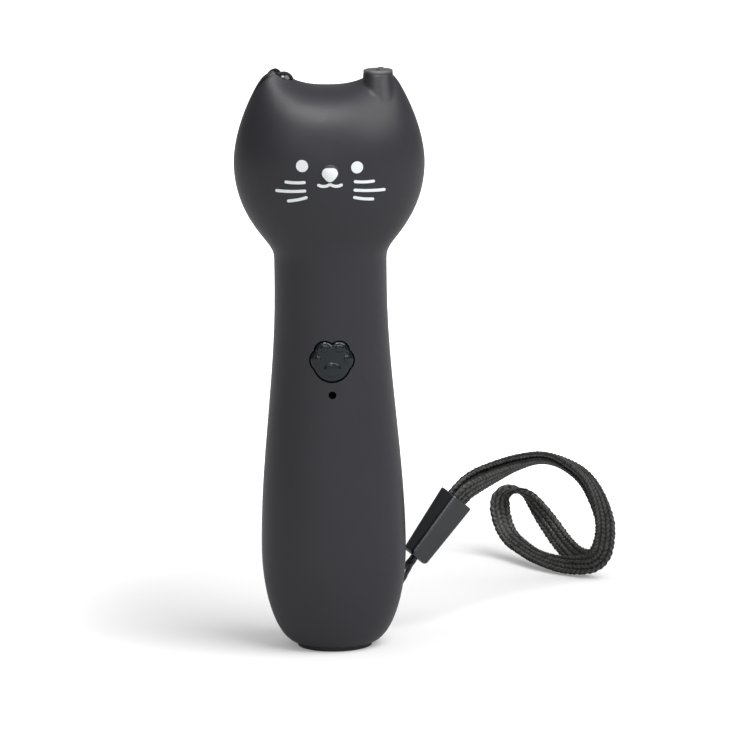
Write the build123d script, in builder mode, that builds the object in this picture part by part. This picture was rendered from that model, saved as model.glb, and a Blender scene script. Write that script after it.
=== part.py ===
"""Cat laser pointer: a hand-held pointer with a cat's head, a paw button and a wrist strap.

Millimetres. The pointer stands on its flat foot, +Z up, with its face towards -Y and the
viewer's right at +X. The origin is the centre of the foot, on the surface it stands on.
"""
from build123d import *
import os
from math import cos, pi, radians, sin, sqrt, tan

os.makedirs("parts", exist_ok=True)

# Body form: half sizes across X and Y at the named heights
foot_radius = 8.65
foot_height = 0.9
foot_set_in = 0.15
grip_half_width = 16.5
grip_half_depth = 13.6
grip_height = 23.0
neck_half_width = 12.8
neck_half_depth = 10.8
head_half_width = 21.7
head_half_depth = 14.5
head_rise = 28.0
head_drop = 23.3
crown_rise = 17.7
ear_rise = 3.7
ear_half_width = 11.7
temple_fullness = 1.8
ear_tip_round = 2.4
bowl_fullness = 1.9
neck_blend = 8
ear_sharpness = 2.4
wall = 1.8

# Laser ear (viewer's right) and torch ear (viewer's left)
laser_x = 11.3
collar_radius = 3.35
collar_drop = 0.4
collar_length = 12.5
fairing_length = 13.0
fairing_forward = 5.3
fairing_low_radius = 5.0
fairing_inset = 0.02
bezel_thickness = 0.45
bezel_hole_radius = 0.55
bezel_spigot_length = 1.2
bezel_chamfer = 0.1
barrel_radius = 2.3
barrel_length = 11.0
barrel_wall = 0.5
lens_thickness = 1.0
diode_length = 3.2
diode_flange_thickness = 0.9
part_gap = 0.05
torch_x = -10.1
torch_y = 1.5
torch_drop = 3.15
torch_tilt = 21.5
torch_seat_rise = 1.25
torch_seat_rim = 0.7
torch_radius = 2.4
torch_length = 3.2
torch_flange = 0.45
torch_flange_thickness = 1.0
ear_pad_radius = 2.1
ear_pad_shift = 0.2
ear_pad_y = 3.3
ear_pad_drop = 2.4

# Face marks, let into the front shell and standing a little proud of it; heights are
# counted from the middle of the head
mark_depth = 0.6
mark_proud = 0.15
left_eye = (-6.25, 1.46)
right_eye = (6.15, 1.0)
eye_radius = 1.36
nose_rise = -0.53
nose_lobe_x = 0.55
nose_lobe_rise = 0.34
nose_lobe_radius = 1.25
nose_tip_drop = 0.44
nose_tip_radius = 1.15
nose_bump_rise = 0.08
nose_bump_half_width = 2.1
nose_bump_proud = 0.7
mouth_rise = -2.67
mouth_half_width = 2.55
mouth_bow = 0.5
mouth_end_lift = -0.23
mouth_stroke = 0.68
whisker_stroke = 0.68
whisker_bow = 0.12
whiskers = [
    (-5.8, -2.3, -9.9, -2.3),
    (-5.7, -4.25, -12.0, -4.4),
    (-5.4, -5.8, -9.4, -6.7),
    (5.7, -2.25, 9.8, -2.35),
    (5.6, -4.2, 12.2, -4.5),
    (5.5, -5.9, 9.6, -6.5),
]

# Paw button in the front of the grip
button_rise = 18.6
button_heel_radius = 4.26
button_heel_drop = 0.53
toe_radius = 2.29
toe_x = 1.62
toe_rise = 2.2
side_toe_radius = 2.78
side_toe_x = 2.2
side_toe_rise = 0.11
button_gap = 0.22
button_proud = 0.35
bean_proud = 0.3
heel_bean_drop = 2.0
heel_bean_half_width = 1.75
toe_bean_x = 1.7
toe_bean_rise = 2.95
side_bean_x = 3.35
side_bean_rise = 0.4
toe_bean_half_width = 0.85
button_travel = 0.6
button_flange = 0.9
button_flange_thickness = 0.9
button_seat_depth = 3.64
button_seat_wall = 1.1
flange_gap = 0.1

# Tactile switch and circuit board
board_front_y = -0.4
board_thickness = 1.0
board_width = 13.0
board_length = 34.5
board_lead_rise = 2.3
board_corner = 0.5
chip_places = [
    (-3.4, 6.9, 4.0, 4.0, 0.9),
    (3.2, 6.3, 3.0, 3.0, 0.8),
    (-3.0, 0.4, 3.0, 1.6, 0.8),
    (3.2, 0.9, 1.6, 0.8, 0.5),
    (3.2, -0.9, 1.6, 0.8, 0.5),
    (-4.4, 12.3, 1.6, 0.8, 0.5),
    (4.4, 12.3, 1.6, 0.8, 0.5),
    (-4.2, -14.9, 2.0, 1.2, 0.6),
    (4.2, -14.9, 2.0, 1.2, 0.6),
]
switch_side = 6.0
switch_body_height = 3.4
switch_cover_thickness = 0.2
plunger_radius = 1.7
plunger_gap = 0.08
plunger_well = 1.9
plunger_chamfer = 0.25
plunger_travel = 0.3
lead_pitch = 1.4
lead_x = 3.9
lead_straight = 6.9
lead_turn_rise = 12.0
torch_lead_run = 5.0
lead_radius = 0.5

# Charge light behind its pinhole
pinhole_drop = 7.8
pinhole_radius = 0.9
pipe_recess = 0.7
pipe_flange = 0.6
pipe_flange_thickness = 1.0
pipe_gap = 0.05
pipe_seat_gap = 0.25
light_size = 1.6
light_height = 0.7

# Charging socket, facing backwards
socket_drop = 8.1
socket_width = 8.94
socket_thickness = 3.26
socket_skin = 0.3
socket_recess = 0.6
socket_gap = 0.25
tongue_width = 6.69
tongue_thickness = 0.7
tongue_base_length = 3.0
tongue_recess = 0.5

# Battery and its seat
battery_radius = 5.0
battery_length = 44.0
battery_gap = 0.1
battery_pad_thickness = 0.5
battery_edge = 0.6
rib_thickness = 1.6
low_rib_rise = 14.8
high_rib_drop = 9.2

# Screws through the back shell into the front shell, and through the board
screw_post_gap = 1.2
grip_screw_drop = 3.2
neck_screw_rise = 6.0
head_screw_rise = 9.0
screw_radius = 1.0
screw_head_radius = 1.9
screw_head_height = 1.2
screw_slot_length = 2.0
screw_slot_width = 0.4
screw_slot_depth = 0.6
screw_engagement = 5.0
screw_floor = 1.6
screw_boss_radius = 2.5
board_screw_from_bottom = 4.0
board_screw_from_top = 3.5
board_screw_radius = 0.7
board_screw_head_radius = 1.4
board_screw_head_height = 0.8
board_screw_engagement = 3.5
standoff_radius = 1.9

# Wrist strap: eye holes, thread, bead and woven band
eye_hole_x = 9.0
eye_hole_height = 8.2
eye_hole_pitch = 3.6
eye_hole_radius = 1.1
thread_radius = 0.55
thread_spread = 0.62
thread_stand_off = 2.6
thread_reach = 2.4
thread_lead = 2.0
thread_low_points = [(15.6, 14.2, 10.6), (12.6, 15.4, 7.6)]
thread_high_points = [(12.4, 16.0, 11.4), (15.6, 15.4, 13.2)]
bead_bottom_place = (18.1, 14.0, 17.4)
bead_top_place = (28.6, 17.0, 30.1)
bead_width = 6.85
bead_thickness = 6.4
bead_low_width = 6.0
bead_low_thickness = 4.2
bead_corner = 1.1
bead_bottom_round = 1.0
bead_top_round = 0.35
bead_turn = 33.0
bead_slot_depth = 3.6
band_lead = 1.5
band_width = 5.0
band_radius = 0.7
band_layer_gap = 1.8
band_out_points = [
    (32.3, 22.6, 33.4),
    (37.2, 29.0, 34.4),
    (43.0, 36.2, 35.1),
    (49.8, 43.1, 34.9),
    (55.4, 48.8, 31.5),
    (60.4, 53.8, 26.9),
    (63.7, 58.0, 19.7),
]
band_loop_points = [
    (65.1, 60.5, 12.0),
    (63.6, 63.3, 4.0),
    (56.3, 68.8, 2.2),
    (50.8, 75.4, 2.3),
    (47.1, 81.9, 2.8),
    (41.9, 91.1, 5.4),
    (40.2, 94.4, 14.3),
    (46.5, 92.0, 16.4),
    (52.4, 86.1, 8.8),
    (55.6, 80.2, 4.9),
    (58.8, 72.2, 3.2),
    (63.2, 65.1, 4.2),
    (65.5, 63.0, 12.7),
]
band_return_points = [
    (62.9, 59.7, 20.1),
    (59.2, 55.2, 26.5),
    (54.0, 49.8, 30.8),
    (49.2, 42.9, 33.3),
    (43.5, 36.0, 33.5),
    (38.6, 28.8, 33.0),
    (33.4, 21.0, 32.2),
]

# Counts of the points that carry the body's skin
bowl_rows = 14
grip_rows = 12
cheek_rows = 16
crown_rows = 16
turns = 24

# Heights, stacked upwards: battery, board with the button, neck, head and ears
battery_bottom = foot_height + wall + battery_pad_thickness
battery_top = battery_bottom + battery_length
board_bottom = battery_top + board_lead_rise
board_top = board_bottom + board_length
button_height = board_bottom + button_rise
pinhole_height = button_height - pinhole_drop
socket_height = button_height - socket_drop
neck_height = board_top
head_height = neck_height + head_rise
crown_height = head_height + crown_rise
ear_height = crown_height + ear_rise
nose_height = head_height + nose_rise
mouth_height = head_height + mouth_rise
rib_heights = [battery_bottom + low_rib_rise, battery_top - high_rib_drop]
board_screw_heights = [board_bottom + board_screw_from_bottom, board_top - board_screw_from_top]
eye_hole_heights = [eye_hole_height, eye_hole_height + eye_hole_pitch]
screw_x = battery_radius + battery_gap + screw_post_gap + screw_boss_radius
screw_places = [
    (-screw_x, battery_top - grip_screw_drop),
    (screw_x, battery_top - grip_screw_drop),
    (0, board_top + neck_screw_rise),
    (0, head_height + head_screw_rise),
]
board_back_y = board_front_y + board_thickness
SIDE_FRONT = -1
SIDE_BACK = 1


def half_size(z, foot, grip, neck, head):
    """Half width or half depth of the body below the middle of the head.

    The bowl above the foot is a quarter of a superellipse, the grip narrows to the neck
    along a cosine, and the neck runs into a ball by a smooth maximum.
    """
    if z < grip_height:
        rise = (z - foot_height) / (grip_height - foot_height)
        return foot + (grip - foot) * (1 - (1 - rise) ** 2) ** (1 / bowl_fullness)
    if z < neck_height:
        rise = (z - grip_height) / (neck_height - grip_height)
        return grip + (neck - grip) * (1 - cos(pi * rise)) / 2
    drop = min(1, (head_height - z) / head_drop)
    full_ball = (head ** neck_blend - neck ** neck_blend) ** (1 / neck_blend)
    ball = full_ball * sqrt(1 - drop ** 2)
    return (neck ** neck_blend + ball ** neck_blend) ** (1 / neck_blend)


def body_half_width(z):
    return half_size(z, foot_radius, grip_half_width, neck_half_width, head_half_width)


def body_half_depth(z):
    return half_size(z, foot_radius, grip_half_depth, neck_half_depth, head_half_depth)


def temple_half_width(z):
    """Half width from the middle of the head up to the ear tips: close to a parabola,
    rounded over at the tip."""
    rise = (z - head_height) / (ear_height - head_height)
    taper = head_half_width - ear_half_width - ear_tip_round
    return head_half_width - taper * rise ** temple_fullness - ear_tip_round * rise ** 24


def surface_y(x, z):
    """Distance from the seam plane to the body's outer surface, below the head's middle."""
    return body_half_depth(z) * sqrt(1 - (x / body_half_width(z)) ** 2)


def ring_row(z, inset, side):
    a = body_half_width(z) - inset
    b = body_half_depth(z) - inset
    angles = [pi * k / turns for k in range(turns + 1)]
    return [Vector(a * cos(t), side * b * sin(t), z) for t in angles]


def crown_row(tilt, inset, side):
    """One row of the crown: it closes front to back like a dome, onto a ridge that rises
    from the middle to both ear tips."""
    lift = ear_rise * sin(tilt) ** 4
    a = temple_half_width(head_height + crown_rise * sin(tilt) + lift) - inset
    b = (head_half_depth - inset) * cos(tilt)
    base = head_height + (crown_rise - inset) * sin(tilt)
    row = []
    for k in range(turns + 1):
        t = pi * k / turns
        row.append(Vector(a * cos(t), side * b * sin(t), base + lift * abs(cos(t)) ** ear_sharpness))
    return row


def half_body(inset, side):
    """Closed half of the body on one side of the seam plane, drawn in by inset."""
    bottom = foot_height + max(inset, 0)
    rows = []
    for i in range(bowl_rows):
        rise = 1 - cos(pi * i / bowl_rows / 2)
        rows.append(ring_row(bottom + (grip_height - bottom) * rise, inset, side))
    for i in range(grip_rows):
        rows.append(ring_row(grip_height + (neck_height - grip_height) * i / grip_rows, inset, side))
    for i in range(cheek_rows):
        rows.append(ring_row(neck_height + (head_height - neck_height) * i / cheek_rows, inset, side))
    for i in range(crown_rows + 1):
        rows.append(crown_row(pi / 2 * i / crown_rows, inset, side))
    skin = Face.make_surface_from_array_of_points(rows, tol=0.002, min_deg=3, max_deg=5)
    rim = skin.edges().sort_by(Axis.Z)
    sole_arc = rim[0]
    diameter = Edge.make_line(sole_arc @ 0, sole_arc @ 1)
    sole = Face(Wire([sole_arc, diameter]))
    seam = Face(Wire([rim[1], rim[2], rim[3], diameter]))
    half = Solid(Shell([skin, sole, seam]))
    return half


def paw_circles(grow):
    """The paw's outline as five circles, grown outwards by grow: heel, two toes, two side toes."""
    with Locations((0, button_height - button_heel_drop)):
        Circle(button_heel_radius + grow)
    with Locations((-toe_x, button_height + toe_rise), (toe_x, button_height + toe_rise)):
        Circle(toe_radius + grow)
    with Locations(
        (-side_toe_x, button_height + side_toe_rise), (side_toe_x, button_height + side_toe_rise)
    ):
        Circle(side_toe_radius + grow)


def round_wire(points, radii, radius):
    """Closed tube of the given radius along straight runs joined by tangent arcs."""
    with BuildPart() as tube:
        with BuildLine() as route:
            FilletPolyline(*points, radius=radii)
        with BuildSketch(Plane(origin=route.line @ 0, z_dir=route.line % 0)):
            Circle(radius)
        sweep()
    return tube.part


def corner_radii(points, share=0.45):
    """Arc radius at each inner point: a share of the shorter run over the tangent of half the turn."""
    radii = []
    for before, here, after in zip(points, points[1:], points[2:]):
        run_in = Vector(*here) - Vector(*before)
        run_out = Vector(*after) - Vector(*here)
        half_turn = radians(run_in.get_angle(run_out)) / 2
        radii.append(share * min(run_in.length, run_out.length) / tan(half_turn))
    return radii


def save(piece, name):
    piece.label = name
    export_step(piece, f"parts/{name}.step")


front_outer = half_body(0, SIDE_FRONT)
front_cavity = half_body(wall, SIDE_FRONT)
back_outer = half_body(0, SIDE_BACK)
back_cavity = half_body(wall, SIDE_BACK)
marks_outer = half_body(-mark_proud, SIDE_FRONT)
marks_floor = half_body(mark_depth, SIDE_FRONT)
button_outer = half_body(-button_proud, SIDE_FRONT)

# Planes that face the viewer, for profiles drawn in X and Z and run out towards the face
reach = head_half_depth + 2
collar_top = ear_height - collar_drop
bezel_bottom = collar_top - bezel_thickness
torch_height = ear_height - torch_drop
torch_axis = Vector(sin(radians(torch_tilt)), 0, cos(radians(torch_tilt)))
torch_centre = Vector(torch_x, torch_y, torch_height)
torch_seat = Vector(torch_x, torch_y, torch_height + torch_seat_rise)
torch_collar_radius = torch_radius + part_gap + torch_seat_rim
torch_body_bottom = torch_centre - torch_axis * torch_length
button_seat_y = button_seat_depth - surface_y(0, button_height)
flange_front_y = button_seat_y + flange_gap
flange_back_y = flange_front_y + button_flange_thickness
plunger_tip_y = flange_back_y + button_travel - plunger_travel
pipe_flange_y = -surface_y(0, pinhole_height) + wall + pipe_seat_gap
socket_mouth_y = surface_y(0, socket_height) - socket_recess
screw_head_y = screw_floor
nose_bump_radius = (nose_bump_half_width ** 2 + nose_bump_proud ** 2) / (2 * nose_bump_proud)
nose_bump_front = surface_y(0, nose_height + nose_bump_rise) + nose_bump_proud
nose_bump_centre = Vector(0, nose_bump_radius - nose_bump_front, nose_height + nose_bump_rise)


def shell_common(side):
    """What both shells share: foot, battery ribs, laser collar and torch collar, clipped later."""
    with BuildPart() as inner:
        for height in rib_heights:
            with BuildSketch(Plane.XY.offset(height)):
                Rectangle(2 * grip_half_width, 2 * grip_half_depth)
                Circle(battery_radius + battery_gap, mode=Mode.SUBTRACT)
            extrude(amount=rib_thickness)
        with BuildSketch(Plane.XZ):
            with Locations(*screw_places):
                Circle(screw_boss_radius)
        extrude(amount=-side * reach)
    return inner.part


with BuildPart() as foot:
    with BuildSketch():
        Circle(foot_radius - foot_set_in)
    extrude(amount=foot_height)

with BuildPart() as laser_collar:
    with BuildSketch(Plane.XY.offset(collar_top - collar_length)):
        with Locations((laser_x, 0)):
            Circle(collar_radius)
    extrude(amount=collar_length - bezel_thickness)

with BuildPart() as collar_fairing:
    with BuildSketch(Plane.XY.offset(bezel_bottom - fairing_length)):
        with Locations((laser_x, -fairing_forward)):
            Circle(fairing_low_radius)
    with BuildSketch(Plane.XY.offset(bezel_bottom)):
        with Locations((laser_x, 0)):
            Circle(collar_radius - fairing_inset)
    loft()

with BuildPart() as torch_collar:
    with BuildSketch(Plane(origin=torch_body_bottom, x_dir=(0, 1, 0), z_dir=torch_axis)):
        Circle(torch_collar_radius)
    extrude(amount=(torch_seat - torch_body_bottom).length + (torch_seat - torch_centre).length)
    split(bisect_by=Plane(origin=torch_seat, x_dir=(0, 1, 0), z_dir=torch_axis), keep=Keep.BOTTOM)

with BuildPart() as ear_bores:
    with BuildSketch(Plane.XY.offset(collar_top - collar_length - wall)):
        with Locations((laser_x, 0)):
            Circle(barrel_radius + part_gap)
    extrude(amount=collar_length + 2 * wall)
    with BuildSketch(Plane.XY.offset(bezel_bottom)):
        with Locations((laser_x, 0)):
            Circle(collar_radius + part_gap)
    extrude(amount=wall + ear_rise)
    with BuildSketch(Plane(origin=torch_body_bottom - torch_axis * wall, x_dir=(0, 1, 0), z_dir=torch_axis)):
        Circle(torch_radius + part_gap)
    extrude(amount=torch_length + wall + ear_rise)
    with BuildSketch(Plane(origin=torch_body_bottom - torch_axis * wall, x_dir=(0, 1, 0), z_dir=torch_axis)):
        Circle(torch_collar_radius + part_gap)
    extrude(amount=wall)
    with BuildSketch(Plane(origin=torch_seat, x_dir=(0, 1, 0), z_dir=torch_axis)):
        Circle(torch_collar_radius + part_gap)
    extrude(amount=wall + ear_rise)

with BuildPart() as front_space:
    with Locations((0, 0, ear_height / 2)):
        Box(3 * head_half_width, reach, 2 * ear_height, align=(Align.CENTER, Align.MAX, Align.CENTER))

with BuildPart() as back_space:
    with Locations((0, 0, ear_height / 2)):
        Box(3 * head_half_width, reach, 2 * ear_height, align=(Align.CENTER, Align.MIN, Align.CENTER))

with BuildPart() as front_fittings:
    add(shell_common(SIDE_FRONT))
    with BuildSketch(Plane.XZ.offset(-button_seat_y)):
        paw_circles(button_gap + button_seat_wall)
    extrude(amount=reach + button_seat_y)
    with BuildSketch(Plane.XZ.offset(-board_front_y)):
        with Locations(*[(0, height) for height in board_screw_heights]):
            Circle(standoff_radius)
    extrude(amount=reach + board_front_y)
    add(front_outer, mode=Mode.INTERSECT)

with BuildPart() as front_shell:
    add(front_outer)
    with Locations(nose_bump_centre):
        Sphere(nose_bump_radius)
    add(collar_fairing.part & front_space.part)
    add(front_cavity, mode=Mode.SUBTRACT)
    add(front_fittings.part)
    add(foot.part & front_space.part)
    add(laser_collar.part & front_space.part)
    add(torch_collar.part & front_space.part)
    add(ear_bores.part, mode=Mode.SUBTRACT)
    with BuildSketch(Plane.XZ):
        paw_circles(button_gap)
        with Locations((0, pinhole_height)):
            Circle(pinhole_radius)
    extrude(amount=reach, mode=Mode.SUBTRACT)
    with BuildSketch(Plane.XZ):
        with Locations(*screw_places):
            Circle(screw_radius)
    extrude(amount=screw_engagement, mode=Mode.SUBTRACT)
    with BuildSketch(Plane.XZ.offset(-board_front_y)):
        with Locations(*[(0, height) for height in board_screw_heights]):
            Circle(board_screw_radius)
    extrude(amount=board_screw_engagement, mode=Mode.SUBTRACT)

with BuildPart() as back_fittings:
    add(shell_common(SIDE_BACK))
    add(back_outer, mode=Mode.INTERSECT)

with BuildPart() as back_shell:
    add(back_outer)
    add(back_cavity, mode=Mode.SUBTRACT)
    add(back_fittings.part)
    add(foot.part & back_space.part)
    for way in (-1, 1):
        with Locations((way * (ear_half_width + ear_pad_shift), ear_pad_y, ear_height - ear_pad_drop)):
            Sphere(ear_pad_radius)
    add(laser_collar.part & back_space.part)
    add(torch_collar.part & back_space.part)
    add(ear_bores.part, mode=Mode.SUBTRACT)
    add(back_space.part, mode=Mode.INTERSECT)
    with BuildSketch(Plane.XZ):
        with Locations(*screw_places):
            Circle(screw_radius + part_gap)
    extrude(amount=-reach, mode=Mode.SUBTRACT)
    with BuildSketch(Plane.XZ.offset(-screw_head_y)):
        with Locations(*screw_places):
            Circle(screw_head_radius + part_gap)
    extrude(amount=-reach, mode=Mode.SUBTRACT)
    with BuildSketch(Plane.XZ.offset(-board_back_y)):
        with Locations((0, socket_height)):
            SlotOverall(socket_width + 2 * socket_gap, socket_thickness + 2 * socket_gap)
    extrude(amount=-reach, mode=Mode.SUBTRACT)
    with BuildSketch(Plane.XZ):
        with Locations(*[(eye_hole_x, height) for height in eye_hole_heights]):
            Circle(eye_hole_radius)
    extrude(amount=-reach, mode=Mode.SUBTRACT)


def face_mark(outline):
    """A white mark: its flat outline run through the front, kept between the pocket's floor
    and the skin that stands proud."""
    with BuildPart() as mark:
        with BuildSketch(Plane.XZ):
            add(outline)
        extrude(amount=reach)
        add(marks_outer, mode=Mode.INTERSECT)
        add(marks_floor, mode=Mode.SUBTRACT)
    return mark.part


with BuildSketch() as eye_outline:
    with Locations(*[(x, head_height + rise) for x, rise in (left_eye, right_eye)]):
        Circle(eye_radius)

with BuildSketch() as nose_outline:
    with Locations(
        (-nose_lobe_x, nose_height + nose_lobe_rise), (nose_lobe_x, nose_height + nose_lobe_rise)
    ):
        Circle(nose_lobe_radius)
    with Locations((0, nose_height - nose_tip_drop)):
        Circle(nose_tip_radius)
    make_hull()

with BuildSketch() as muzzle_outline:
    add(nose_outline.sketch)
    for way in (-1, 1):
        smile = ThreePointArc(
            (0, mouth_height),
            (way * mouth_half_width / 2, mouth_height - mouth_bow),
            (way * mouth_half_width, mouth_height + mouth_end_lift),
        )
        SlotArc(smile, mouth_stroke)
    with Locations((0, (nose_height + mouth_height) / 2)):
        Rectangle(mouth_stroke, nose_height - mouth_height)

with BuildSketch() as whisker_outline:
    for inner_x, inner_rise, outer_x, outer_rise in whiskers:
        hair = ThreePointArc(
            (inner_x, head_height + inner_rise),
            ((inner_x + outer_x) / 2, head_height + (inner_rise + outer_rise) / 2 - whisker_bow),
            (outer_x, head_height + outer_rise),
        )
        SlotArc(hair, whisker_stroke)

with BuildPart() as nose_cap:
    with BuildSketch(Plane.XZ):
        add(nose_outline.sketch)
    extrude(amount=reach)
    with Locations(nose_bump_centre):
        Sphere(nose_bump_radius + mark_proud, mode=Mode.INTERSECT)
    add(marks_floor, mode=Mode.SUBTRACT)

eye_marks = face_mark(eye_outline.sketch)
muzzle_mark = face_mark(muzzle_outline.sketch) + nose_cap.part
whisker_marks = face_mark(whisker_outline.sketch)

with BuildPart() as marked_front_shell:
    add(front_shell.part)
    add(eye_marks, mode=Mode.SUBTRACT)
    add(muzzle_mark, mode=Mode.SUBTRACT)
    add(whisker_marks, mode=Mode.SUBTRACT)

save(marked_front_shell.part, "front_shell")
save(back_shell.part, "back_shell")
save(eye_marks, "eye_marks")
save(muzzle_mark, "muzzle_mark")
save(whisker_marks, "whisker_marks")

# Paw button: cap with soft pads, and a flange that stops it behind the shell
bean_places = [
    (0, button_height - heel_bean_drop, heel_bean_half_width),
    (-toe_bean_x, button_height + toe_bean_rise, toe_bean_half_width),
    (toe_bean_x, button_height + toe_bean_rise, toe_bean_half_width),
    (-side_bean_x, button_height + side_bean_rise, toe_bean_half_width),
    (side_bean_x, button_height + side_bean_rise, toe_bean_half_width),
]
with BuildPart() as beans:
    for x, z, half_width in bean_places:
        bean_radius = (half_width ** 2 + bean_proud ** 2) / (2 * bean_proud)
        bean_front = surface_y(x, z) + button_proud + bean_proud
        with Locations((x, bean_radius - bean_front, z)):
            Sphere(bean_radius)
    with BuildSketch(Plane.XZ.offset(-flange_front_y)):
        for x, z, half_width in bean_places:
            with Locations((x, z)):
                Circle(half_width)
    extrude(amount=reach + flange_front_y, mode=Mode.INTERSECT)

with BuildPart() as paw_button:
    with BuildSketch(Plane.XZ.offset(-flange_back_y)):
        paw_circles(0)
    extrude(amount=reach + flange_back_y)
    add(button_outer, mode=Mode.INTERSECT)
    add(beans.part)
    with BuildSketch(Plane.XZ.offset(-flange_back_y)):
        paw_circles(button_flange)
    extrude(amount=button_flange_thickness)
save(paw_button.part, "paw_button")

# Circuit board, its screws and what is soldered to it
board_height = board_top - board_bottom
board_middle = (0, (board_top + board_bottom) / 2)
with BuildPart() as circuit_board:
    with BuildSketch(Plane.XZ.offset(-board_back_y)):
        with Locations(board_middle):
            RectangleRounded(board_width, board_height, board_corner)
        with Locations(*[(0, height) for height in board_screw_heights]):
            Circle(board_screw_radius + part_gap, mode=Mode.SUBTRACT)
    extrude(amount=board_thickness)
save(circuit_board.part, "circuit_board")

with BuildPart() as board_screws:
    with BuildSketch(Plane.XZ.offset(-board_back_y)):
        with Locations(*[(0, height) for height in board_screw_heights]):
            Circle(board_screw_radius)
    extrude(amount=board_thickness + board_screw_engagement)
    with BuildSketch(Plane.XZ.offset(-board_back_y)):
        with Locations(*[(0, height) for height in board_screw_heights]):
            Circle(board_screw_head_radius)
    extrude(amount=-board_screw_head_height)
save(board_screws.part, "board_screws")

with BuildPart() as board_components:
    for x, rise, width, height, thickness in chip_places:
        with BuildSketch(Plane.XZ.offset(-board_back_y)):
            with Locations((x, button_height + rise)):
                Rectangle(width, height)
        extrude(amount=-thickness)
save(board_components.part, "board_components")

# Tactile switch behind the paw
switch_cover_y = board_front_y - switch_body_height
with BuildPart() as switch_housing:
    with BuildSketch(Plane.XZ.offset(-board_front_y)):
        with Locations((0, button_height)):
            RectangleRounded(switch_side, switch_side, board_corner)
    extrude(amount=switch_body_height)
    with BuildSketch(Plane.XZ.offset(-switch_cover_y)):
        with Locations((0, button_height)):
            Circle(plunger_radius + plunger_gap)
    extrude(amount=-plunger_well, mode=Mode.SUBTRACT)
save(switch_housing.part, "switch_housing")

with BuildPart() as switch_cover:
    with BuildSketch(Plane.XZ.offset(-switch_cover_y)):
        with Locations((0, button_height)):
            RectangleRounded(switch_side, switch_side, board_corner)
            Circle(plunger_radius + plunger_gap, mode=Mode.SUBTRACT)
    extrude(amount=switch_cover_thickness)
save(switch_cover.part, "switch_cover")

plunger_back_y = switch_cover_y + plunger_well - plunger_travel - part_gap
with BuildPart() as switch_plunger:
    with BuildSketch(Plane.XZ.offset(-plunger_back_y)):
        with Locations((0, button_height)):
            Circle(plunger_radius)
    extrude(amount=plunger_back_y - plunger_tip_y)
    chamfer(switch_plunger.faces().sort_by(Axis.Y)[0].edges(), plunger_chamfer)
save(switch_plunger.part, "switch_plunger")

# Charge light and the clear pipe that carries it to the pinhole
with BuildPart() as charge_light:
    with BuildSketch(Plane.XZ.offset(-board_front_y)):
        with Locations((0, pinhole_height)):
            Rectangle(light_size, light_size / 2)
    extrude(amount=light_height)
save(charge_light.part, "charge_light")

pipe_back_y = board_front_y - light_height - pipe_seat_gap
pipe_front_y = -surface_y(0, pinhole_height) + pipe_recess
with BuildPart() as light_pipe:
    with BuildSketch(Plane.XZ.offset(-pipe_back_y)):
        with Locations((0, pinhole_height)):
            Circle(pinhole_radius - pipe_gap)
    extrude(amount=pipe_back_y - pipe_front_y)
    with BuildSketch(Plane.XZ.offset(-pipe_flange_y)):
        with Locations((0, pinhole_height)):
            Circle(pinhole_radius + pipe_flange)
    extrude(amount=-pipe_flange_thickness)
save(light_pipe.part, "light_pipe")

# Charging socket: steel tube and the tongue inside it
with BuildPart() as socket_shell:
    with BuildSketch(Plane.XZ.offset(-board_back_y)):
        with Locations((0, socket_height)):
            SlotOverall(socket_width, socket_thickness)
            SlotOverall(socket_width - 2 * socket_skin, socket_thickness - 2 * socket_skin,
                        mode=Mode.SUBTRACT)
    extrude(amount=board_back_y - socket_mouth_y)
save(socket_shell.part, "socket_shell")

with BuildPart() as socket_tongue:
    with BuildSketch(Plane.XZ.offset(-board_back_y)):
        with Locations((0, socket_height)):
            SlotOverall(socket_width - 2 * socket_skin, socket_thickness - 2 * socket_skin)
    extrude(amount=-tongue_base_length)
    with BuildSketch(Plane.XZ.offset(-board_back_y)):
        with Locations((0, socket_height)):
            Rectangle(tongue_width, tongue_thickness)
    extrude(amount=board_back_y + tongue_recess - socket_mouth_y)
save(socket_tongue.part, "socket_tongue")

# Battery on its pad, with two leads up to the board
with BuildPart() as battery_pad:
    with BuildSketch(Plane.XY.offset(battery_bottom)):
        Circle(battery_radius)
    extrude(amount=-battery_pad_thickness)
save(battery_pad.part, "battery_pad")

with BuildPart() as battery_cell:
    with BuildSketch(Plane.XY.offset(battery_bottom)):
        Circle(battery_radius)
    extrude(amount=battery_length)
    fillet(battery_cell.edges().filter_by(GeomType.CIRCLE), battery_edge)
save(battery_cell.part, "battery_cell")

lead_y = (board_front_y + board_back_y) / 2
with BuildPart() as battery_leads:
    with BuildSketch(Plane.XY.offset(battery_top)):
        with Locations((-lead_pitch, lead_y), (lead_pitch, lead_y)):
            Circle(lead_radius)
    extrude(amount=board_bottom - battery_top)
save(battery_leads.part, "battery_leads")

# Laser in the viewer's right ear: bezel, brass barrel, lens, diode and leads
spigot_bottom = bezel_bottom - bezel_spigot_length
barrel_bottom = spigot_bottom - barrel_length
barrel_bore = barrel_radius - barrel_wall

with BuildPart() as laser_bezel:
    with BuildSketch(Plane.XY.offset(bezel_bottom)):
        with Locations((laser_x, 0)):
            Circle(collar_radius)
    extrude(amount=bezel_thickness)
    chamfer(laser_bezel.faces().sort_by(Axis.Z)[-1].edges(), bezel_chamfer)
    with BuildSketch(Plane.XY.offset(spigot_bottom)):
        with Locations((laser_x, 0)):
            Circle(barrel_radius)
    extrude(amount=bezel_spigot_length)
    with BuildSketch(Plane.XY.offset(spigot_bottom)):
        with Locations((laser_x, 0)):
            Circle(bezel_hole_radius)
    extrude(amount=bezel_spigot_length + bezel_thickness, mode=Mode.SUBTRACT)
save(laser_bezel.part, "laser_bezel")

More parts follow.
